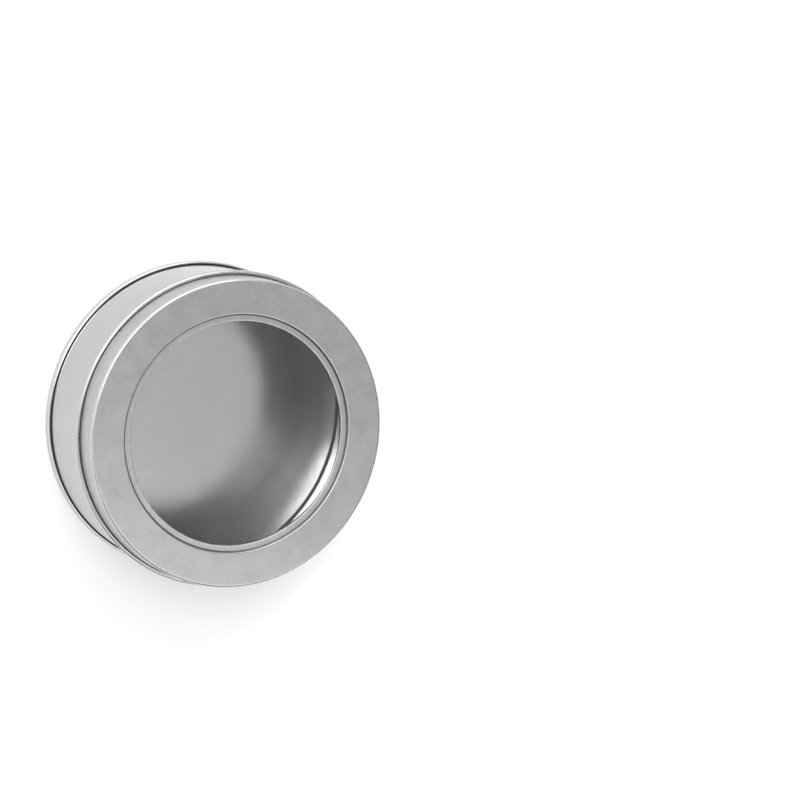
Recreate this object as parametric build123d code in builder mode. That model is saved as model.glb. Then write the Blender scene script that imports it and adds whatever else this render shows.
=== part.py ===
from build123d import *
import os

# Round window lid tin, upright on its bottom seam.
# Origin at the centre of the base, Z up the axis of the tin. Lengths in millimetres.

# Whole tin
overall_height = 40.0
lid_outer_radius = 50.0
sheet = 0.25

# Lid: a drawn cap with an outward curl on its skirt
lid_skirt_depth = 11.2
lid_corner_radius = 0.9
lid_curl_radius = 0.83
curl_slit = 0.1
lid_play = 0.35
lid_seat_gap = 0.1

# Window: a step pressed down round the opening, its edge hemmed under
window_radius = 36.3
ledge_width = 2.1
step_depth = 0.9
step_shoulder = 0.2
hem_gap = 0.05
hem_nose_chamfer = 0.13
hem_foot = 0.3

# Window pane and the ring that clinches it to the hem
pane_thickness = 0.3
pane_edge_gap = 0.1
clinch_gap = 0.05
ring_setback = 0.6
ring_corner_chamfer = 0.12

# Body wall: a rolled strip, locked along one side and curled in at the top
body_curl_radius = 0.8
lock_width = 2.8
lock_layers = 3
lock_groove_width = 0.3
lock_groove_depth = 0.12
lock_end_gap = 0.3
lock_angle = 0.0

# Bottom end and the double seam that joins it to the wall
seam_height = 2.9
seam_gap = 0.05
seam_hook_play = 0.3
seam_base_radius = 0.4
seam_top_radius = 0.35
seam_hook_chamfer = 0.15
panel_rise = 5.8
panel_corner_radius = 0.6

# Sides of the hollow inside a curl, and the cut corner that touches a round one, as a share of its radius
hollow_sides = 6
cut_corner_share = 2 - 2 ** 0.5

# Radii of the lid and the wall that slides inside it
lid_inner_radius = lid_outer_radius - sheet
body_outer_radius = lid_inner_radius - lid_play
body_inner_radius = body_outer_radius - sheet
lid_curl_centre = lid_inner_radius + lid_curl_radius
body_curl_centre = body_outer_radius - body_curl_radius

# Layers of the double seam, from the inside of the tin to the outside
chuck_outer_radius = body_inner_radius - seam_gap
chuck_inner_radius = chuck_outer_radius - sheet
end_hook_inner = body_outer_radius + seam_gap
end_hook_outer = end_hook_inner + sheet
body_hook_inner = end_hook_outer + seam_gap
body_hook_outer = body_hook_inner + sheet
seaming_wall_inner = body_hook_outer + seam_gap
seaming_wall_outer = seaming_wall_inner + sheet
body_hook_low = sheet + seam_gap
body_hook_top = seam_height - sheet - seam_hook_play
end_hook_low = body_hook_low + sheet + seam_hook_play
panel_top = panel_rise + sheet

# Radii of the window: the step, the hem under it, and the pane and ring that the hem carries
step_radius = window_radius + ledge_width
step_outer_radius = step_radius + sheet
leaf_outer_radius = step_outer_radius + hem_foot
lip_inner_radius = step_outer_radius + clinch_gap
leg_inner_radius = leaf_outer_radius + clinch_gap
leg_outer_radius = leg_inner_radius + sheet
pane_radius = leg_inner_radius - pane_edge_gap
ring_inner_radius = window_radius + ring_setback

# Heights of the lid, and of the stack that holds the window pane
body_top = overall_height - sheet - lid_seat_gap
body_curl_z = body_top - body_curl_radius
body_curl_low = body_curl_z - body_curl_radius
lid_curl_z = overall_height - lid_skirt_depth + lid_curl_radius
ledge_top = overall_height - step_depth
ledge_low = ledge_top - sheet
leaf_top = ledge_low - hem_gap
leaf_low = leaf_top - sheet
pane_low = leaf_low - pane_thickness
ring_low = pane_low - sheet
lip_low = leaf_top + clinch_gap
lip_top = lip_low + sheet


def strip(inner, outer, low, high, mode=Mode.ADD):
    """A straight run of sheet in the half section, between two radii and two heights."""
    with Locations(((inner + outer) / 2, (low + high) / 2)):
        Rectangle(outer - inner, high - low, mode=mode)


def rolled_edge(centre, height, radius):
    """A curl in the half section: the sheet rolled once round a hollow core."""
    with Locations((centre, height)):
        Circle(radius)
        RegularPolygon(radius - sheet, hollow_sides, major_radius=False, rotation=180 / hollow_sides,
                       mode=Mode.SUBTRACT)


def corner(section, radius, height):
    """The vertex of a half section that lies at this radius and height."""
    return section.vertices().sort_by_distance((radius, height))[0]


# Body wall: hook of the double seam, plain wall, and the inward curl that the lid rests on.
with BuildPart() as body_wall:
    with BuildSketch(Plane.XZ):
        rolled_edge(body_curl_centre, body_curl_z, body_curl_radius)
        strip(body_inner_radius - curl_slit, body_outer_radius, body_curl_low, body_curl_z, Mode.SUBTRACT)
        strip(body_inner_radius, body_outer_radius, body_hook_low, body_curl_z)
        strip(body_inner_radius, body_hook_outer, body_hook_low, body_hook_low + sheet)
        strip(body_hook_inner, body_hook_outer, body_hook_low, body_hook_top)
    revolve(axis=Axis.Z)
    # Lock seam: the folded layers stand inside, between the bottom panel and the curl.
    lock_low = panel_top + lock_end_gap
    lock_top = body_curl_low - lock_end_gap
    with BuildSketch(Plane.XY.offset(lock_low)):
        Circle(body_inner_radius + sheet / 2)
        Circle(body_inner_radius - lock_layers * sheet, mode=Mode.SUBTRACT)
        with PolarLocations(body_inner_radius, 1, start_angle=lock_angle):
            Rectangle(lock_width, lock_width, mode=Mode.INTERSECT)
    extrude(amount=lock_top - lock_low)
    # The line of the lock on the outside, from the bottom seam to the curl.
    with BuildSketch(Plane.XY.offset(seam_height)):
        with PolarLocations(body_outer_radius, 1, start_angle=lock_angle):
            Rectangle(2 * lock_groove_depth, lock_groove_width)
    extrude(amount=body_curl_low - seam_height, mode=Mode.SUBTRACT)
body_wall.part.label = "body_wall"

# Bottom end: raised panel, chuck wall, and the outer layers and hook of the double seam.
with BuildPart() as bottom_end:
    with BuildSketch(Plane.XZ) as section:
        strip(0, chuck_outer_radius, panel_rise, panel_top)
        strip(chuck_inner_radius, chuck_outer_radius, 0, panel_top)
        strip(chuck_inner_radius, seaming_wall_outer, 0, sheet)
        strip(seaming_wall_inner, seaming_wall_outer, 0, seam_height)
        strip(end_hook_inner, seaming_wall_outer, seam_height - sheet, seam_height)
        strip(end_hook_inner, end_hook_outer, end_hook_low, seam_height)
        chamfer(corner(section, chuck_inner_radius, panel_rise), (panel_corner_radius - sheet) * cut_corner_share)
        chamfer(corner(section, chuck_outer_radius, panel_top), panel_corner_radius * cut_corner_share)
        chamfer(corner(section, chuck_inner_radius, 0), seam_base_radius * cut_corner_share)
        fillet(corner(section, seaming_wall_outer, 0), seam_base_radius)
        fillet(corner(section, seaming_wall_outer, seam_height), seam_top_radius)
        chamfer(corner(section, end_hook_inner, seam_height), seam_hook_chamfer)
    revolve(axis=Axis.Z)
bottom_end.part.label = "bottom_end"

# Lid shell: flat rim, drawn corner, skirt and curl, and the step with its hemmed edge round the window.
with BuildPart() as lid_shell:
    with BuildSketch(Plane.XZ) as section:
        rolled_edge(lid_curl_centre, lid_curl_z, lid_curl_radius)
        strip(lid_inner_radius, lid_outer_radius + curl_slit, lid_curl_z, lid_curl_z + lid_curl_radius, Mode.SUBTRACT)
        strip(lid_inner_radius, lid_outer_radius, lid_curl_z, overall_height)
        strip(step_radius, lid_outer_radius, overall_height - sheet, overall_height)
        strip(step_radius, step_outer_radius, ledge_low, overall_height)
        strip(window_radius, step_outer_radius, ledge_low, ledge_top)
        strip(window_radius, window_radius + sheet, leaf_low, ledge_top)
        strip(window_radius, leaf_outer_radius, leaf_low, leaf_top)
        fillet(corner(section, lid_outer_radius, overall_height), lid_corner_radius)
        chamfer(corner(section, lid_inner_radius, overall_height - sheet),
                (lid_corner_radius - sheet) * cut_corner_share)
        chamfer(corner(section, step_radius, overall_height), step_shoulder)
        chamfer(corner(section, window_radius, ledge_top), hem_nose_chamfer)
        chamfer(corner(section, window_radius, leaf_low), hem_nose_chamfer)
    revolve(axis=Axis.Z)
lid_shell.part.label = "lid_shell"

# Window pane: a clear disc under the hem.
with BuildPart() as window_pane:
    with BuildSketch(Plane.XY.offset(pane_low)):
        Circle(pane_radius)
    extrude(amount=pane_thickness)
window_pane.part.label = "window_pane"

# Retaining ring: a channel that holds the pane up against the hem, its lip closed over the hem's foot.
with BuildPart() as window_retaining_ring:
    with BuildSketch(Plane.XZ) as section:
        strip(ring_inner_radius, leg_outer_radius, ring_low, pane_low)
        strip(leg_inner_radius, leg_outer_radius, ring_low, lip_top)
        strip(lip_inner_radius, leg_outer_radius, lip_low, lip_top)
        chamfer(corner(section, leg_outer_radius, ring_low), ring_corner_chamfer)
        chamfer(corner(section, leg_outer_radius, lip_top), ring_corner_chamfer)
    revolve(axis=Axis.Z)
window_retaining_ring.part.label = "window_retaining_ring"

os.makedirs("parts", exist_ok=True)
export_step(body_wall.part, "parts/body_wall.step")
export_step(bottom_end.part, "parts/bottom_end.step")
export_step(lid_shell.part, "parts/lid_shell.step")
export_step(window_pane.part, "parts/window_pane.step")
export_step(window_retaining_ring.part, "parts/window_retaining_ring.step")
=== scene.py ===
# %% [markdown]
# # A round tin with a window in its lid
# The real object is a small slip-lid tin, the kind that holds pins, sweets or seeds. Five pieces make it: a
# rolled wall, a pressed bottom, a drawn lid, a clear disc and the ring that holds the disc. The solids come
# in first, as a frame that is never moved, and each piece of this lesson is then made in the place of its
# solid.

# %% Load the frame
import math

import bmesh
import bpy
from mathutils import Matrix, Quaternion, Vector


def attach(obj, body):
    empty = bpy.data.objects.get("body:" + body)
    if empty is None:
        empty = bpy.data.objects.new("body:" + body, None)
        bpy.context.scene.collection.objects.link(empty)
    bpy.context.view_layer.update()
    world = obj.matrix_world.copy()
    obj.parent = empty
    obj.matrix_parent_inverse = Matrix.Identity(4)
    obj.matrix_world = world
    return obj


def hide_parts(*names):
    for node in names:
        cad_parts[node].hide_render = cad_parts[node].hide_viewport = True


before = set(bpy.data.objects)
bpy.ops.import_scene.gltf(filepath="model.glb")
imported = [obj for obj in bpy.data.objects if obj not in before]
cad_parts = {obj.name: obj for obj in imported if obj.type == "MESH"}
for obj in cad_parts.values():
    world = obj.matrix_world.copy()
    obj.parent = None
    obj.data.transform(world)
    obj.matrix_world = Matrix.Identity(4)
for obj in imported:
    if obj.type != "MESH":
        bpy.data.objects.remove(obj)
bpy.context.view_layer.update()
print("Solids:", sorted(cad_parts))

# %% [markdown]
# ## The sizes
# Blender works in metres here, and a tinsmith thinks in millimetres, so one name, mm, turns the second into
# the first. Everything is round, so a place on the tin is a radius from the upright axis and a height above
# the table. The few sizes below fix the tin as a whole. Each later cell adds the sizes of its own piece and
# works the rest out. A name that ends in middle is a place halfway through the thickness of a sheet.

# %% Main sizes
mm = 0.001
sheet = 0.25 * mm
tin_height = 40.0 * mm
lid_radius = 50.0 * mm
lid_play = 0.35 * mm
lid_seat_gap = 0.1 * mm

lid_middle = lid_radius - sheet / 2
wall_middle = lid_radius - sheet - lid_play - sheet / 2
wall_inside = wall_middle - sheet / 2
wall_outside = wall_middle + sheet / 2
wall_top = tin_height - sheet - lid_seat_gap
print("The lid is", round(2 * lid_radius / mm, 2), "mm across")
print("The wall is", round(2 * wall_outside / mm, 2), "mm across")

# %% [markdown]
# ## The camera
# The photograph shows the tin lying on its side, with the lid towards us. Here the tin stands upright on its
# base, so the camera goes up instead: it looks steeply down on the lid and is rolled about its own line of
# sight. A long lens from far away keeps the near and the far rims almost the same size, as in the
# photograph.

# %% Place the camera
camera_spot = Vector((0.0, -0.7705, 1.7182))
camera_aim = Vector((-0.0314, 0.0578, 0.020))
camera_roll = math.radians(111.62)
camera_lens = 260.46

camera_data = bpy.data.cameras.new("photo_camera")
camera_data.lens = camera_lens
camera_data.sensor_width = 36.0
camera_data.clip_end = 20.0
camera = bpy.data.objects.new("photo_camera", camera_data)
camera.location = camera_spot
camera.rotation_mode = "QUATERNION"
look = (camera_spot - camera_aim).to_track_quat("Z", "Y")
camera.rotation_quaternion = look @ Quaternion((0, 0, 1), camera_roll)
bpy.context.scene.collection.objects.link(camera)
bpy.context.scene.camera = camera
print("The camera stands", round((camera_spot - camera_aim).length, 3), "m away")

# %% [markdown]
# ## Bending a sheet
# Every metal piece of a tin is one thin sheet that was bent, so every piece here starts as the line down the
# middle of its sheet, seen in a cut through the tin. One helper rounds the corners of that line, as a roller
# or a die does, and keeps beside each point the direction square to the sheet. A pair of extra points close
# to each bend stops its shading from running out over the flat next to it. Where two bends meet with no flat
# between them, as in the fold of a hem, there are no such points.

# %% Helper: a bent line
bend_step = math.radians(15)
guard = 0.04 * mm


def left_of(direction):
    """The direction a quarter turn anticlockwise from this one."""
    return Vector((-direction.y, direction.x))


def rotated(direction, angle):
    """The direction turned anticlockwise by this angle."""
    return Vector((direction.x * math.cos(angle) - direction.y * math.sin(angle),
                   direction.x * math.sin(angle) + direction.y * math.cos(angle)))


def bent_line(corners):
    """
    The line down the middle of a sheet, with its corners rounded. The corners come as (radius, height, bend
    radius), and the points of the line as (point, direction square to the sheet).
    """
    line = []
    for index, (radius, height, bend) in enumerate(corners):
        here = Vector((radius, height))
        before = after = None
        if index:
            before = (here - Vector(corners[index - 1][:2])).normalized()
        if index + 1 < len(corners):
            after = (Vector(corners[index + 1][:2]) - here).normalized()
        if not bend:
            line.append((here, left_of(before or after)))
            continue
        turn = math.atan2(before.cross(after), before.dot(after))
        side = math.copysign(1, turn)
        run = bend * math.tan(abs(turn) / 2)
        start = here - before * run
        end = here + after * run
        centre = start + left_of(before) * bend * side
        guard_point = start - before * guard
        if (guard_point - line[-1][0]).dot(before) > 0:
            line.append((guard_point, left_of(before)))
        else:
            line.pop()
        steps = math.ceil(abs(turn) / bend_step)
        for step in range(steps + 1):
            square = rotated(left_of(before), turn * step / steps)
            line.append((centre - square * bend * side, square))
        line.append((end + after * guard, left_of(after)))
    return line


corner_test = bent_line([(0, 0, 0), (1, 0, 0.5), (1, 1, 0)])
print("A square corner becomes", len(corner_test), "points")

# %% [markdown]
# ## Rolling a curl
# A raw edge of tinplate is sharp, so it is rolled into a curl, a small tube that also stiffens the rim. In
# the cut it is most of a circle, joined smoothly to the straight sheet.

# %% Helper: a curl at the end of a line
curl_steps = 22


def curl(centre_radius, centre_height, roll, start, sweep):
    """Points of a curl of radius roll, which runs anticlockwise from the start angle through the sweep."""
    points = []
    for step in range(1, curl_steps + 1):
        angle = start + sweep * step / curl_steps
        out = Vector((math.cos(angle), math.sin(angle)))
        points.append((Vector((centre_radius, centre_height)) + out * roll, -out))
    return points


print("A curl has", curl_steps, "steps")

# %% [markdown]
# ## From a line to a round sheet
# The line gets its two faces half a thickness to each side, and the closed outline turns once round the
# axis. This could be Blender's Screw modifier, but plain mesh code lets one place be shaped on its own later:
# the lock seam of the wall. Where the outline meets the axis its points are merged, so that a disc closes in
# one point.

# %% Helper: turn an outline round the axis
full_turn = 2 * math.pi
column_count = 240
even_angles = [full_turn * step / column_count for step in range(column_count)]
sharp_angle = math.radians(50)
on_axis_within = 1e-9
merge_within = 1e-7


def thicken(line):
    """The closed outline of a sheet, from the line down its middle."""
    one = [point + square * sheet / 2 for point, square in line]
    other = [point - square * sheet / 2 for point, square in line]
    return one + other[::-1]


def turned(name, outline, angles=even_angles, shape=None, second_from=None):
    """
    A closed mesh: the outline turned round the axis, with shape(radius, height, angle) giving each radius.
    The faces from the point second_from on take the piece's second finish.
    """
    bm = bmesh.new()
    columns = []
    for angle in angles:
        column = []
        for radius, height in outline:
            if shape:
                radius = shape(radius, height, angle)
            column.append(bm.verts.new((radius * math.cos(angle), radius * math.sin(angle), height)))
        columns.append(column)
    on_axis = [radius < on_axis_within for radius, height in outline]
    count = len(outline)
    for column, following in zip(columns, columns[1:] + columns[:1]):
        for low in range(count):
            high = (low + 1) % count
            if not (on_axis[low] and on_axis[high]):
                face = bm.faces.new((column[low], following[low], following[high], column[high]))
                face.material_index = int(second_from is not None and low >= second_from)
    bmesh.ops.remove_doubles(bm, verts=bm.verts, dist=merge_within)
    bmesh.ops.recalc_face_normals(bm, faces=bm.faces)
    mesh = bpy.data.meshes.new(name)
    bm.to_mesh(mesh)
    bm.free()
    mesh.shade_smooth()
    mesh.set_sharp_from_angle(angle=sharp_angle)
    made = bpy.data.objects.new(name, mesh)
    bpy.context.scene.collection.objects.link(made)
    print(name, "has", len(mesh.polygons), "faces")
    return made


print("A piece has", len(even_angles), "columns of points, unless it says otherwise")

# %% [markdown]
# ## The lid
# A press draws the lid from a flat disc: flat face, rounded corner, straight skirt. The edge of the skirt is
# curled outwards. The middle is cut out for the window, the metal round it is pushed down in a small step,
# and the raw edge is folded back under itself in a hem, so that nobody cuts a finger on it. The line below
# starts at that hidden edge and ends in the curl. A few stops between the corners keep the faces of the mesh
# short.

# %% Lid sizes
skirt_depth = 11.2 * mm
curl_roll = 0.83 * mm
window_radius = 36.3 * mm
step_radius = 38.4 * mm
step_depth = 0.9 * mm
hem_gap = 0.05 * mm
hem_foot = 0.3 * mm
foot_bend = 0.32 * mm
shoulder_bend = 0.48 * mm
lid_corner_bend = 0.8 * mm
lid_curl_sweep = math.radians(305)
face_stops = [42.0 * mm, 46.0 * mm]
skirt_stops = [36.0 * mm, 33.0 * mm]

face_middle = tin_height - sheet / 2
ledge_middle = tin_height - step_depth - sheet / 2
leaf_middle = ledge_middle - sheet - hem_gap
hem_bend = (ledge_middle - leaf_middle) / 2
nose = window_radius + sheet / 2
step_middle = step_radius + sheet / 2
leaf_end = step_radius + sheet + hem_foot
lid_curl_height = tin_height - skirt_depth + curl_roll
lid_curl_radius = lid_radius - sheet + curl_roll
print("The ledge lies", round((face_middle - ledge_middle) / mm, 3), "mm below the face")

# %% Make the lid
lid_line = bent_line(
    [(leaf_end, leaf_middle, 0), (nose, leaf_middle, hem_bend), (nose, ledge_middle, hem_bend),
     (step_middle, ledge_middle, foot_bend), (step_middle, face_middle, shoulder_bend)]
    + [(stop, face_middle, 0) for stop in face_stops]
    + [(lid_middle, face_middle, lid_corner_bend)]
    + [(lid_middle, stop, 0) for stop in skirt_stops]
    + [(lid_middle, lid_curl_height, 0)]
)
lid_line += curl(lid_curl_radius, lid_curl_height, curl_roll - sheet / 2, math.pi, lid_curl_sweep)
lid_sheet = turned("lid_sheet", thicken(lid_line), second_from=len(lid_line))

# %% [markdown]
# ## The window
# The window is a disc stamped from clear plastic sheet. It lies under the hem, and a thin channel of
# tinplate is closed round both from below, so no glue is needed. The disc has a slight bevel on its cut edge,
# and the channel is bent with the same helper as the lid.

# %% Make the pane
pane_thickness = 0.3 * mm
pane_edge_gap = 0.1 * mm
pane_bevel = 0.04 * mm
clinch_gap = 0.05 * mm
pane_stops = [stop * mm for stop in (0, 6, 12, 18, 24, 30, 36)]

pane_top = leaf_middle - sheet / 2
pane_low = pane_top - pane_thickness
leg_inside = leaf_end + clinch_gap
pane_radius = leg_inside - pane_edge_gap
pane_disc = turned(
    "pane_disc",
    [(stop, pane_low) for stop in pane_stops]
    + [(pane_radius - pane_bevel, pane_low), (pane_radius, pane_low + pane_bevel),
       (pane_radius, pane_top - pane_bevel), (pane_radius - pane_bevel, pane_top)]
    + [(stop, pane_top) for stop in reversed(pane_stops)]
)

# %% Make the retaining channel
channel_setback = 0.6 * mm
channel_bend = 0.2 * mm

flange_middle = pane_low - sheet / 2
leg_middle = leg_inside + sheet / 2
lip_middle = leaf_middle + sheet + clinch_gap
lip_edge = step_radius + sheet + clinch_gap
channel_line = bent_line([
    (window_radius + channel_setback, flange_middle, 0),
    (leg_middle, flange_middle, channel_bend),
    (leg_middle, lip_middle, channel_bend),
    (lip_edge, lip_middle, 0),
])
retaining_channel = turned("retaining_channel", thicken(channel_line))

# %% [markdown]
# ## The wall and its lock seam
# The wall starts as a flat strip. Its two ends are hooked into each other and pressed flat, which leaves
# four layers there, three of them standing out on the inside, and a fine upright line outside. Below, the
# strip turns out into the hook of the bottom seam, and above it is curled inwards, so that the lid slides
# over a smooth rim. The lock seam is shaped by moving points: extra columns of points stand close together
# there, at places given in millimetres from its middle, and a function pushes them in.

# %% Sizes of the wall
seam_height = 2.9 * mm
seam_gap = 0.05 * mm
hook_play = 0.3 * mm
hook_bend = 0.2 * mm
panel_height = 6.05 * mm
wall_curl_roll = 0.8 * mm
wall_curl_sweep = math.radians(304)

wall_curl_radius = wall_outside - wall_curl_roll
wall_curl_height = wall_top - wall_curl_roll
wall_curl_low = wall_curl_height - wall_curl_roll
hook_middle = wall_outside + 2 * seam_gap + 3 * sheet / 2
hook_low_middle = seam_gap + 3 * sheet / 2
hook_top = seam_height - sheet - hook_play
print("The wall's hook ends", round(hook_top / mm, 2), "mm above the table")

# %% Sizes and columns of the lock seam
lock_half = 1.4 * mm
lock_rise = 3 * sheet
lock_round = 0.3 * mm
lock_end_gap = 0.3 * mm
lock_end_slope = 0.02 * mm
line_half = 0.15 * mm
line_depth = 0.12 * mm
line_end_slope = 0.1 * mm
lock_low = panel_height + lock_end_gap
lock_high = wall_curl_low - lock_end_gap

lock_places = [0, 0.05, 0.11, 0.15, 0.25, 0.6, 1.0, 1.1, 1.16, 1.22, 1.28, 1.34, 1.38, 1.4, 1.5]
lock_angles = [place * mm / wall_inside for place in lock_places]
mirrored_angles = [full_turn - angle for angle in lock_angles if angle]
clear_angle = math.radians(2.5)
clear_angles = [angle for angle in even_angles if clear_angle < angle < full_turn - clear_angle]
wall_angles = sorted(clear_angles + lock_angles + mirrored_angles)
print("The wall has", len(wall_angles), "columns of points")

# %% Helper: the shape of the lock seam
same_face_within = 0.04 * mm


def lock_seam(radius, height, angle):
    """The radius of a wall point, pushed in where the strip's ends are locked together."""
    away = abs((angle + math.pi) % full_turn - math.pi) * wall_inside
    on_inside = abs(radius - wall_inside) < same_face_within
    on_outside = abs(radius - wall_outside) < same_face_within
    if on_inside and lock_low <= height <= lock_high and away < lock_half:
        rounding = min(1, (lock_half - away) / lock_round)
        return radius - lock_rise * math.sqrt(1 - (1 - rounding) ** 2)
    if on_outside and seam_height < height < wall_curl_low and away < line_half:
        return radius - line_depth * (1 - (away / line_half) ** 2)
    return radius


print("The lock seam is", round(2 * lock_half / mm, 2), "mm wide")

# %% Make the wall
even_stops = [14 * mm, 22 * mm, 30 * mm]
wall_stops = [seam_height, seam_height + line_end_slope, lock_low - lock_end_slope, lock_low, *even_stops,
              lock_high, lock_high + lock_end_slope, wall_curl_low - line_end_slope, wall_curl_low]
wall_line = bent_line(
    [(hook_middle, hook_top, 0), (hook_middle, hook_low_middle, hook_bend),
     (wall_middle, hook_low_middle, hook_bend)]
    + [(wall_middle, stop, 0) for stop in wall_stops]
    + [(wall_middle, wall_curl_height, 0)]
)
wall_line += curl(wall_curl_radius, wall_curl_height, wall_curl_roll - sheet / 2, 0, wall_curl_sweep)
wall_sheet = turned("wall_sheet", thicken(wall_line), wall_angles, lock_seam, second_from=len(wall_line))

# %% [markdown]
# ## The bottom and its double seam
# The bottom is pressed with a raised panel. Its rim turns up round the outside of the wall, over the wall's
# hook and down inside it, and rollers squeeze the five layers tight. That double seam is the thickest place
# of the tin and the line it stands on, and it is the work that takes the most skill.

# %% Make the bottom
panel_bend = 0.475 * mm
base_bend = 0.275 * mm
seam_top_bend = 0.225 * mm
panel_stops = [stop * mm for stop in (0, 8, 16, 24, 32, 40, 45)]

panel_middle = panel_height - sheet / 2
chuck_middle = wall_inside - seam_gap - sheet / 2
base_middle = sheet / 2
seaming_middle = hook_middle + sheet + seam_gap
seam_top_middle = seam_height - sheet / 2
end_hook_middle = wall_outside + seam_gap + sheet / 2
end_hook_low = seam_gap + 2 * sheet + hook_play
bottom_line = bent_line(
    [(stop, panel_middle, 0) for stop in panel_stops]
    + [(chuck_middle, panel_middle, panel_bend), (chuck_middle, base_middle, base_bend),
       (seaming_middle, base_middle, base_bend), (seaming_middle, seam_top_middle, seam_top_bend),
       (end_hook_middle, seam_top_middle, hook_bend), (end_hook_middle, end_hook_low, 0)]
)
bottom_sheet = turned("bottom_sheet", thicken(bottom_line))

# %% [markdown]
# ## Small helpers for materials
# A material is a chain of nodes. The first helper adds a node, sets it and wires it in one line, and the
# next ones do so for the kinds that come up often. The last three open a node group with named inputs and
# outputs, wire what it gives, and place it in a material, so that an effect is built once and used in
# several.

# %% Helpers: nodes
noise_middle = 0.5


def add(tree, kind, feeds=None, **settings):
    """Adds a node, with its settings and what feeds each input."""
    made = tree.nodes.new(kind)
    for name, value in settings.items():
        setattr(made, name, value)
    for key, value in (feeds or {}).items():
        if isinstance(value, bpy.types.NodeSocket):
            tree.links.new(value, made.inputs[key])
        else:
            made.inputs[key].default_value = value
    return made


def math_node(tree, operation, *values, clamp=False):
    """The result of a Math node on these values or sockets."""
    made = add(tree, "ShaderNodeMath", dict(enumerate(values)), operation=operation, use_clamp=clamp)
    return made.outputs[0]


def soft_step(tree, value, start, end, low=0.0, high=1.0):
    """A value that goes smoothly from low to high while another goes from start to end."""
    feeds = {"Value": value, "From Min": start, "From Max": end, "To Min": low, "To Max": high}
    return add(tree, "ShaderNodeMapRange", feeds, interpolation_type="SMOOTHSTEP").outputs["Result"]


def object_place(tree):
    """Where the shaded point is on its piece."""
    return add(tree, "ShaderNodeTexCoord").outputs["Object"]


def noise(tree, place, scale, detail=1.0, roughness=0.5):
    """A noise that wavers round noise_middle, about scale times along each unit of place."""
    feeds = {"Vector": place, "Scale": scale, "Detail": detail, "Roughness": roughness}
    return add(tree, "ShaderNodeTexNoise", feeds).outputs["Fac"]


print("Helpers for nodes are ready")

# %% Helpers: groups


def new_group(name, inputs, outputs):
    """A shader node group with these number sockets, and its input and output nodes."""
    group = bpy.data.node_groups.new(name, "ShaderNodeTree")
    for label, start in inputs.items():
        socket = group.interface.new_socket(label, in_out="INPUT", socket_type="NodeSocketFloat")
        socket.default_value = start
    for label in outputs:
        group.interface.new_socket(label, in_out="OUTPUT", socket_type="NodeSocketFloat")
    return group, group.nodes.new("NodeGroupInput").outputs, group.nodes.new("NodeGroupOutput").inputs


def give(group, gives, **results):
    """Wires the results of a group to its outputs."""
    for name, value in results.items():
        group.links.new(value, gives[name])
    print(group.name, "gives", list(results))


def use_group(tree, group, **values):
    """
    Places a group in a material with its own values and gives back its outputs. An underscore in the name
    of a value stands for a space.
    """
    feeds = {name.replace("_", " "): value for name, value in values.items()}
    return add(tree, "ShaderNodeGroup", feeds, node_tree=group).outputs


print("Helpers for groups are ready")

# %% [markdown]
# ## The grain of satin tinplate
# The steel is rolled between sandblasted rolls before it is tinned, which leaves a fine, even field of
# specks about a millimetre apart. A noise texture makes them, and a slower one gathers them in faint clouds.
# Together they give a tone and a height, so colour, gloss and bump agree with each other.

# %% Group: grain
cloud_rate = 0.22
cloud_weight = 1.2

grain_starts = {"Speck Size": 0.8 * mm, "Contrast": 1.0}
grain, takes, gives = new_group("satin_grain", grain_starts, ["Tone", "Height"])
place = object_place(grain)
rate = math_node(grain, "DIVIDE", 1.0, takes["Speck Size"])
specks = noise(grain, place, rate)
clouds = noise(grain, place, math_node(grain, "MULTIPLY", rate, cloud_rate))
mix = math_node(grain, "MULTIPLY_ADD", clouds, cloud_weight, specks)
centred = math_node(grain, "SUBTRACT", mix, noise_middle * (1 + cloud_weight))
give(grain, gives, Tone=math_node(grain, "MULTIPLY", centred, takes["Contrast"]), Height=mix)

# %% [markdown]
# ## Lines from rolling and drawing
# A rolled strip keeps faint lines round the wall, and a drawn skirt has faint upright ones where the die
# rubbed. Both are noise that is stretched along one direction. The group works on the unrolled tin, so it
# takes how fast the noise changes round the tin and how fast it changes upwards.

# %% Group: lines
line_starts = {"Per Metre Round": 60.0, "Per Metre Up": 6000.0}
lines, takes, gives = new_group("sheet_lines", line_starts, ["Tone"])
place = add(lines, "ShaderNodeSeparateXYZ", {"Vector": object_place(lines)}).outputs
turn = math_node(lines, "ARCTAN2", place["Y"], place["X"])
unrolled = math_node(lines, "MULTIPLY", turn, lid_radius)
across = math_node(lines, "MULTIPLY", unrolled, takes["Per Metre Round"])
upwards = math_node(lines, "MULTIPLY", place["Z"], takes["Per Metre Up"])
flat = add(lines, "ShaderNodeCombineXYZ", {"X": across, "Y": upwards}).outputs["Vector"]
streaks = noise(lines, flat, scale=1.0, detail=3.0, roughness=0.7)
give(lines, gives, Tone=math_node(lines, "SUBTRACT", streaks, noise_middle))

# %% [markdown]
# ## Rubbed rims with a painted highlight, and painted shade in creases
# Corners and curls are where a tin is touched, and the tin coat is burnished there, so they are a little
# glossier. Their tone is also lifted, which is a painted highlight. The narrow grooves and inner corners,
# beside a curl, a seam or the window's step, are darkened in tone, which is painted shade. Each such place is
# a
# ring, so one group serves both: it measures how far a point is from a ring of a given radius and height, and
# its mask fades out a little unevenly.

# %% Group: ring mask
full_share = 0.3
uneven_rate = 90.0
least_share = 0.8
uneven_share = 0.4


def length_of(tree, x, y):
    """The distance of the point (x, y) from zero."""
    both = add(tree, "ShaderNodeCombineXYZ", {"X": x, "Y": y}).outputs["Vector"]
    return add(tree, "ShaderNodeVectorMath", {0: both}, operation="LENGTH").outputs["Value"]


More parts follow.
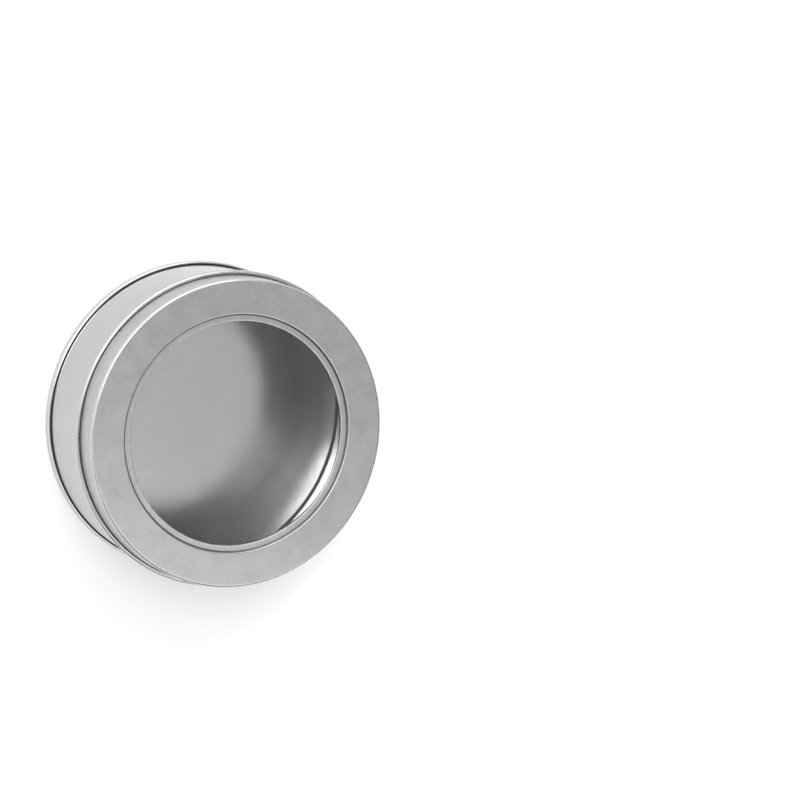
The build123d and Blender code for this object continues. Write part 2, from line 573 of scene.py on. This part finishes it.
ring_starts = {"Radius": lid_radius, "Height": tin_height, "Reach": 1.0 * mm}
ring_mask, takes, gives = new_group("ring_mask", ring_starts, ["Mask"])
place = object_place(ring_mask)
parts = add(ring_mask, "ShaderNodeSeparateXYZ", {"Vector": place}).outputs
from_axis = length_of(ring_mask, parts["X"], parts["Y"])
outwards = math_node(ring_mask, "SUBTRACT", from_axis, takes["Radius"])
upwards = math_node(ring_mask, "SUBTRACT", parts["Z"], takes["Height"])
distance = length_of(ring_mask, outwards, upwards)
waver = noise(ring_mask, place, uneven_rate)
uneven = math_node(ring_mask, "MULTIPLY_ADD", waver, uneven_share, least_share)
reach = math_node(ring_mask, "MULTIPLY", takes["Reach"], uneven)
reached = math_node(ring_mask, "DIVIDE", distance, reach)
give(ring_mask, gives, Mask=soft_step(ring_mask, reached, full_share, 1.0, low=1.0, high=0.0))

# %% [markdown]
# ## Haze from handling
# A tin that has been held is never evenly glossy. Soft patches, a centimetre or two wide, are a little
# duller. A slow noise with a steep ramp makes such patches with clear metal between them.

# %% Group: haze
haze_from = 0.38
haze_full = 0.68

haze, takes, gives = new_group("handling_haze", {"Patch Size": 15.0 * mm}, ["Mask"])
rate = math_node(haze, "DIVIDE", 1.0, takes["Patch Size"])
patches = noise(haze, object_place(haze), rate, detail=2.0)
give(haze, gives, Mask=soft_step(haze, patches, haze_from, haze_full))

# %% [markdown]
# ## Tinplate
# Tin is a neutral silver, darker where it is satin. One function makes the material of every metal piece.
# The grain, the lines, the haze and the rubbed rims each change the tone and the roughness a little, and the
# lift in tone at the rims is a painted highlight. The creases darken the tone, which is painted shade. The
# grain and the lines also make a bump of a few thousandths of a millimetre. The pieces differ in tone and
# gloss, in how strong their grain and lines are, and in where their rims and creases lie.

# %% Helpers: a tinplate material
# The lift in tone at the rims is a painted highlight on rubbed metal, and the darkening at the creases is
# painted shade.
tone_change = {"grain": 0.16, "lines": 0.10, "haze": -0.012, "rub_and_highlight": 0.12, "crease_shade": -0.28}
roughness_change = {"grain": 0.12, "lines": 0.08, "haze": 0.03, "rub_and_highlight": -0.05}
metal_haze_patch = 16.0 * mm
metal_bump_strength = 0.35
metal_bump_height = 0.01 * mm


def ring(radius, height, reach):
    """The values of a ring mask: where the ring lies and how far it reaches."""
    return {"Radius": radius, "Height": height, "Reach": reach}


def widest(tree, rings):
    """The largest of the masks of these rings."""
    mask = 0.0
    for values in rings:
        mask = math_node(tree, "MAXIMUM", mask, use_group(tree, ring_mask, **values)["Mask"])
    return mask


def changed(tree, start, effects, changes, line_share):
    """The start value, changed by each effect. Of the change that the lines make, only their share counts."""
    value = start
    for name, change in changes.items():
        if name == "lines":
            change = change * line_share
        value = math_node(tree, "MULTIPLY_ADD", effects[name], change, value)
    return value


def tinplate(name, tone, roughness, speck, contrast, round_rate, up_rate, line_share, rub_and_highlight, crease_shade):
    """Satin tinplate with grain and lines, a painted highlight on its rubbed rims and painted shade in its
    creases.
    """
    material = bpy.data.materials.new(name)
    material.use_nodes = True
    tree = material.node_tree
    shader = tree.nodes["Principled BSDF"]
    grains = use_group(tree, grain, Speck_Size=speck, Contrast=contrast)
    streak = use_group(tree, lines, Per_Metre_Round=round_rate, Per_Metre_Up=up_rate)["Tone"]
    dull = use_group(tree, haze, Patch_Size=metal_haze_patch)["Mask"]
    effects = {"grain": grains["Tone"], "lines": streak, "haze": dull,
               "rub_and_highlight": widest(tree, rub_and_highlight), "crease_shade": widest(tree, crease_shade)}
    value = changed(tree, tone, effects, tone_change, line_share)
    grey = {"Red": value, "Green": value, "Blue": value}
    colour = add(tree, "ShaderNodeCombineColor", grey).outputs["Color"]
    dullness = changed(tree, roughness, effects, roughness_change, line_share)
    height = math_node(tree, "MULTIPLY_ADD", streak, line_share, grains["Height"])
    bump = add(tree, "ShaderNodeBump", {"Height": height, "Strength": metal_bump_strength,
                                        "Distance": metal_bump_height})
    tree.links.new(colour, shader.inputs["Base Color"])
    tree.links.new(dullness, shader.inputs["Roughness"])
    tree.links.new(bump.outputs["Normal"], shader.inputs["Normal"])
    shader.inputs["Metallic"].default_value = 1.0
    print(name, "has", len(tree.nodes), "nodes")
    return material


print("The creases darken the tone by up to", -tone_change["crease_shade"])

# %% Make the lid's finishes
# In each finish, the rims get a painted highlight and the creases get painted shade.
curl_crease = 0.65 * mm
step_lean = 0.1 * mm

lid_finish = tinplate(
    "satin_tinplate_lid", tone=0.455, roughness=0.29, speck=1.2 * mm, contrast=0.42,
    round_rate=900.0, up_rate=60.0, line_share=0.3,
    rub_and_highlight=[ring(lid_radius, tin_height, reach=1.1 * mm),
          ring(nose + sheet, ledge_middle + sheet / 2, reach=0.35 * mm)],
    crease_shade=[ring(lid_radius, lid_curl_height + curl_crease, reach=curl_crease),
             ring(step_radius + step_lean, tin_height - step_depth / 2, reach=0.5 * mm),
             ring(step_radius, ledge_middle, reach=0.5 * mm),
             ring(window_radius, leaf_middle, reach=0.42 * mm)])
lid_inside_finish = tinplate(
    "plain_tinplate_lid_inside", tone=0.52, roughness=0.28, speck=0.8 * mm, contrast=0.5,
    round_rate=900.0, up_rate=60.0, line_share=0.3,
    rub_and_highlight=[ring(lid_middle, tin_height, reach=0.9 * mm)],
    crease_shade=[ring(step_middle, face_middle, reach=0.5 * mm)])

# %% Make the wall's finishes
# In each finish, the rims get a painted highlight and the creases get painted shade.
wall_rub_and_highlight = [ring(wall_curl_radius, wall_curl_height, reach=1.2 * mm)]

# The outside of the wall is darker in tone than the inside, which is painted shade.
wall_shaded_finish = tinplate(
    "satin_tinplate_wall_shaded", tone=0.485, roughness=0.11, speck=0.5 * mm, contrast=0.2,
    round_rate=40.0, up_rate=5000.0, line_share=0.5,
    rub_and_highlight=wall_rub_and_highlight, crease_shade=[ring(wall_outside, seam_height, reach=0.7 * mm)])
wall_inside_finish = tinplate(
    "plain_tinplate_wall_inside", tone=0.56, roughness=0.11, speck=0.5 * mm, contrast=0.2,
    round_rate=40.0, up_rate=5000.0, line_share=0.5,
    rub_and_highlight=wall_rub_and_highlight, crease_shade=[ring(wall_inside, panel_height, reach=1.8 * mm)])

# %% Make the finishes of the bottom and the channel
# In each finish, the rims get a painted highlight and the creases get painted shade.
bottom_finish = tinplate(
    "satin_tinplate_bottom", tone=0.565, roughness=0.19, speck=0.8 * mm, contrast=0.15,
    round_rate=300.0, up_rate=300.0, line_share=0.2,
    rub_and_highlight=[ring(seaming_middle, 0, reach=0.4 * mm), ring(seaming_middle, seam_height, reach=0.4 * mm)],
    crease_shade=[ring(wall_outside, seam_height, reach=0.5 * mm),
             ring(wall_inside, panel_height, reach=0.5 * mm)])
channel_finish = tinplate(
    "satin_tinplate_channel", tone=0.62, roughness=0.2, speck=0.5 * mm, contrast=0.6,
    round_rate=600.0, up_rate=900.0, line_share=0.4,
    rub_and_highlight=[ring(leg_middle, flange_middle, reach=0.6 * mm)],
    crease_shade=[ring(lip_edge, lip_middle, reach=0.3 * mm)])

# %% [markdown]
# ## The clear pane
# The window is plain clear plastic. It is shown as a real sheet with two faces, so it bends light as one.
# Its gloss isn't perfect: the haze group makes it a little softer in patches, and a slow bump makes
# reflections waver.

# %% Make the pane's material
pane_colour = (0.99, 0.99, 0.99, 1.0)
plastic_ior = 1.45
pane_haze_patch = 20.0 * mm
pane_roughness = 0.015
pane_dulling = 0.03
ripple_rate = 45.0
ripple_strength = 0.1
ripple_height = 0.2 * mm

pane_finish = bpy.data.materials.new("clear_plastic_sheet")
pane_finish.use_nodes = True
tree = pane_finish.node_tree
shader = tree.nodes["Principled BSDF"]
shader.inputs["Base Color"].default_value = pane_colour
shader.inputs["Transmission Weight"].default_value = 1.0
shader.inputs["IOR"].default_value = plastic_ior
mist = use_group(tree, haze, Patch_Size=pane_haze_patch)["Mask"]
dullness = math_node(tree, "MULTIPLY_ADD", mist, pane_dulling, pane_roughness)
ripple = noise(tree, object_place(tree), ripple_rate)
bump = add(tree, "ShaderNodeBump", {"Height": ripple, "Strength": ripple_strength,
                                    "Distance": ripple_height})
tree.links.new(dullness, shader.inputs["Roughness"])
tree.links.new(bump.outputs["Normal"], shader.inputs["Normal"])
print(pane_finish.name, "has", len(tree.nodes), "nodes")

# %% [markdown]
# ## Dressing the frame
# Each piece now takes its finish, says which solid it stands for, and rides on the part of the tin that it
# belongs to. The lid and the wall take two finishes, satin outside and plain inside, and the outside of the
# wall is also darker in tone, which is painted shade. The lid, the pane and the channel lift off together,
# and the wall and the bottom stay.

# %% Dress, replace and ride
for piece, finishes, node, slot, body in [
    (lid_sheet, [lid_finish, lid_inside_finish], "lid_shell", "tinplate_lid", "lid"),
    (pane_disc, [pane_finish], "window_pane", "clear_pane", "lid"),
    (retaining_channel, [channel_finish], "window_retaining_ring", "tinplate_ring", "lid"),
    (wall_sheet, [wall_inside_finish, wall_shaded_finish], "body_wall", "tinplate_body", "tin"),
    (bottom_sheet, [bottom_finish], "bottom_end", "tinplate_end", "tin"),
]:
    for finish in finishes:
        piece.data.materials.append(finish)
    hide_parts(node)
    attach(piece, body)
    print(piece.name, "stands for", node, "and rides on", body)

# %% [markdown]
# ## The floor
# The tin stands on a plain white table that fills the picture. The table is a tenth of a millimetre lower
# than the base, so that their surfaces never fall into one plane. Nearly all of its white comes from the room
# and the lamp, so it takes a soft shadow. A little is a steady white that only the camera, mirrors and glass
# see, which lifts the table to a clean white away from the tin.

# %% Make the floor
floor_radius = 4.0
floor_corners = 96
floor_drop = 0.1 * mm
table_colour = (0.89, 0.89, 0.89, 1.0)
steady_white = 0.1

bpy.ops.mesh.primitive_circle_add(vertices=floor_corners, radius=floor_radius, fill_type="NGON",
                                  location=(0, 0, -floor_drop))
floor = bpy.context.object
floor.name = "table_top"
white = bpy.data.materials.new("white_table")
white.use_nodes = True
tree = white.node_tree
tree.nodes.remove(tree.nodes["Principled BSDF"])
path = add(tree, "ShaderNodeLightPath").outputs
seen = math_node(tree, "ADD", path["Is Camera Ray"], path["Is Glossy Ray"], clamp=True)
seen = math_node(tree, "ADD", seen, path["Is Transmission Ray"], clamp=True)
strength = math_node(tree, "MULTIPLY", seen, steady_white)
matt = add(tree, "ShaderNodeBsdfDiffuse", {"Color": table_colour}).outputs["BSDF"]
steady = add(tree, "ShaderNodeEmission", {"Strength": strength}).outputs["Emission"]
both = add(tree, "ShaderNodeAddShader", {0: matt, 1: steady}).outputs["Shader"]
tree.links.new(both, tree.nodes["Material Output"].inputs["Surface"])
floor.data.materials.append(white)
print("The floor is", 2 * floor_radius, "m across")

# %% [markdown]
# ## The studio
# Metal shows what stands around it, so the room matters more than the lamp. The room here is a tent with a
# pale top and a darker wall, which darkens the lines of the curls and of the window's step. Three soft glows
# are painted on it, as if lamps stood behind the cloth. The wide one is low, on the camera's side, and
# whitens the corner of the lid. The one to the side throws the soft shadow on the table. The smallest is
# behind the camera, and shines through the window onto the far inside wall.

# %% Helpers: directions and glows


def compass(azimuth, elevation):
    """The direction at this azimuth, in degrees from +X towards +Y, and this elevation above the table."""
    round_z, up = math.radians(azimuth), math.radians(elevation)
    return Vector((math.cos(round_z) * math.cos(up), math.sin(round_z) * math.cos(up), math.sin(up)))


def glow(tree, way, azimuth, elevation, full_within, gone_beyond, brightness):
    """A round glow on the tent, full within one angle of its middle and gone beyond another, in degrees."""
    feeds = {0: way, 1: compass(azimuth, elevation)}
    closeness = add(tree, "ShaderNodeVectorMath", feeds, operation="DOT_PRODUCT").outputs["Value"]
    gone = math.cos(math.radians(gone_beyond))
    full = math.cos(math.radians(full_within))
    return soft_step(tree, closeness, gone, full, high=brightness)


print("Straight up is", [round(part, 3) for part in compass(0, 90)])

# %% Make the room
wall_strength = 0.3
top_strength = 0.71
top_from = 0.3
top_full = 0.85
wide_glow = {"azimuth": -110, "elevation": 0, "full_within": 50, "gone_beyond": 112, "brightness": 1.1}
side_glow = {"azimuth": -155, "elevation": 38, "full_within": 12, "gone_beyond": 26, "brightness": 2.6}
window_glow = {"azimuth": -106, "elevation": 66, "full_within": 11, "gone_beyond": 17, "brightness": 4.2}

world = bpy.data.worlds.new("pale_tent")
bpy.context.scene.world = world
world.use_nodes = True
tree = world.node_tree
way = add(tree, "ShaderNodeTexCoord").outputs["Generated"]
rise = add(tree, "ShaderNodeSeparateXYZ", {"Vector": way}).outputs["Z"]
upper = soft_step(tree, rise, top_from, top_full)
side = math_node(tree, "ADD", glow(tree, way, **wide_glow), wall_strength)
top_change = math_node(tree, "SUBTRACT", top_strength, side)
tent = math_node(tree, "MULTIPLY_ADD", top_change, upper, side)
tent = math_node(tree, "ADD", glow(tree, way, **side_glow), tent)
room = math_node(tree, "ADD", glow(tree, way, **window_glow), tent)
tree.links.new(room, tree.nodes["Background"].inputs["Strength"])
tree.nodes["Background"].inputs["Color"].default_value = (1.0, 1.0, 1.0, 1.0)
print("The tent's wall is", wall_strength, "away from the glows, and its top is", top_strength)

# %% [markdown]
# ## The lamp
# One real lamp does the rest, a long oval softbox close above the tin. Because it is close, the flat face
# mirrors it more on one side than on the other, and so goes from pale to darker. Its brightness is what a
# mirror shows, where 1 is white.

# %% Place the lamp
lamp_azimuth, lamp_elevation = 51, 59
lamp_distance = 0.6
lamp_length, lamp_width = 0.62, 0.24
lamp_roll = math.radians(-47)
lamp_brightness = 1.35

lamp_way = compass(lamp_azimuth, lamp_elevation)
lamp_area = math.pi / 4 * lamp_length * lamp_width
lamp_data = bpy.data.lights.new("near_softbox", "AREA")
lamp_data.shape = "ELLIPSE"
lamp_data.size = lamp_length
lamp_data.size_y = lamp_width
lamp_data.energy = lamp_brightness * math.pi * lamp_area
lamp = bpy.data.objects.new("near_softbox", lamp_data)
lamp.location = lamp_way * lamp_distance + Vector((0, 0, tin_height / 2))
lamp.rotation_mode = "QUATERNION"
lamp.rotation_quaternion = lamp_way.to_track_quat("Z", "Y") @ Quaternion((0, 0, 1), lamp_roll)
bpy.context.scene.collection.objects.link(lamp)
print("The lamp gives", round(lamp_data.energy, 2), "W from", lamp_distance, "m")

# %% [markdown]
# ## Plain colours
# The picture is shown with Blender's Standard view, so that a white stays white and a grey stays the grey
# that was written.

# %% Set the view and finish
bpy.context.scene.view_settings.view_transform = "Standard"
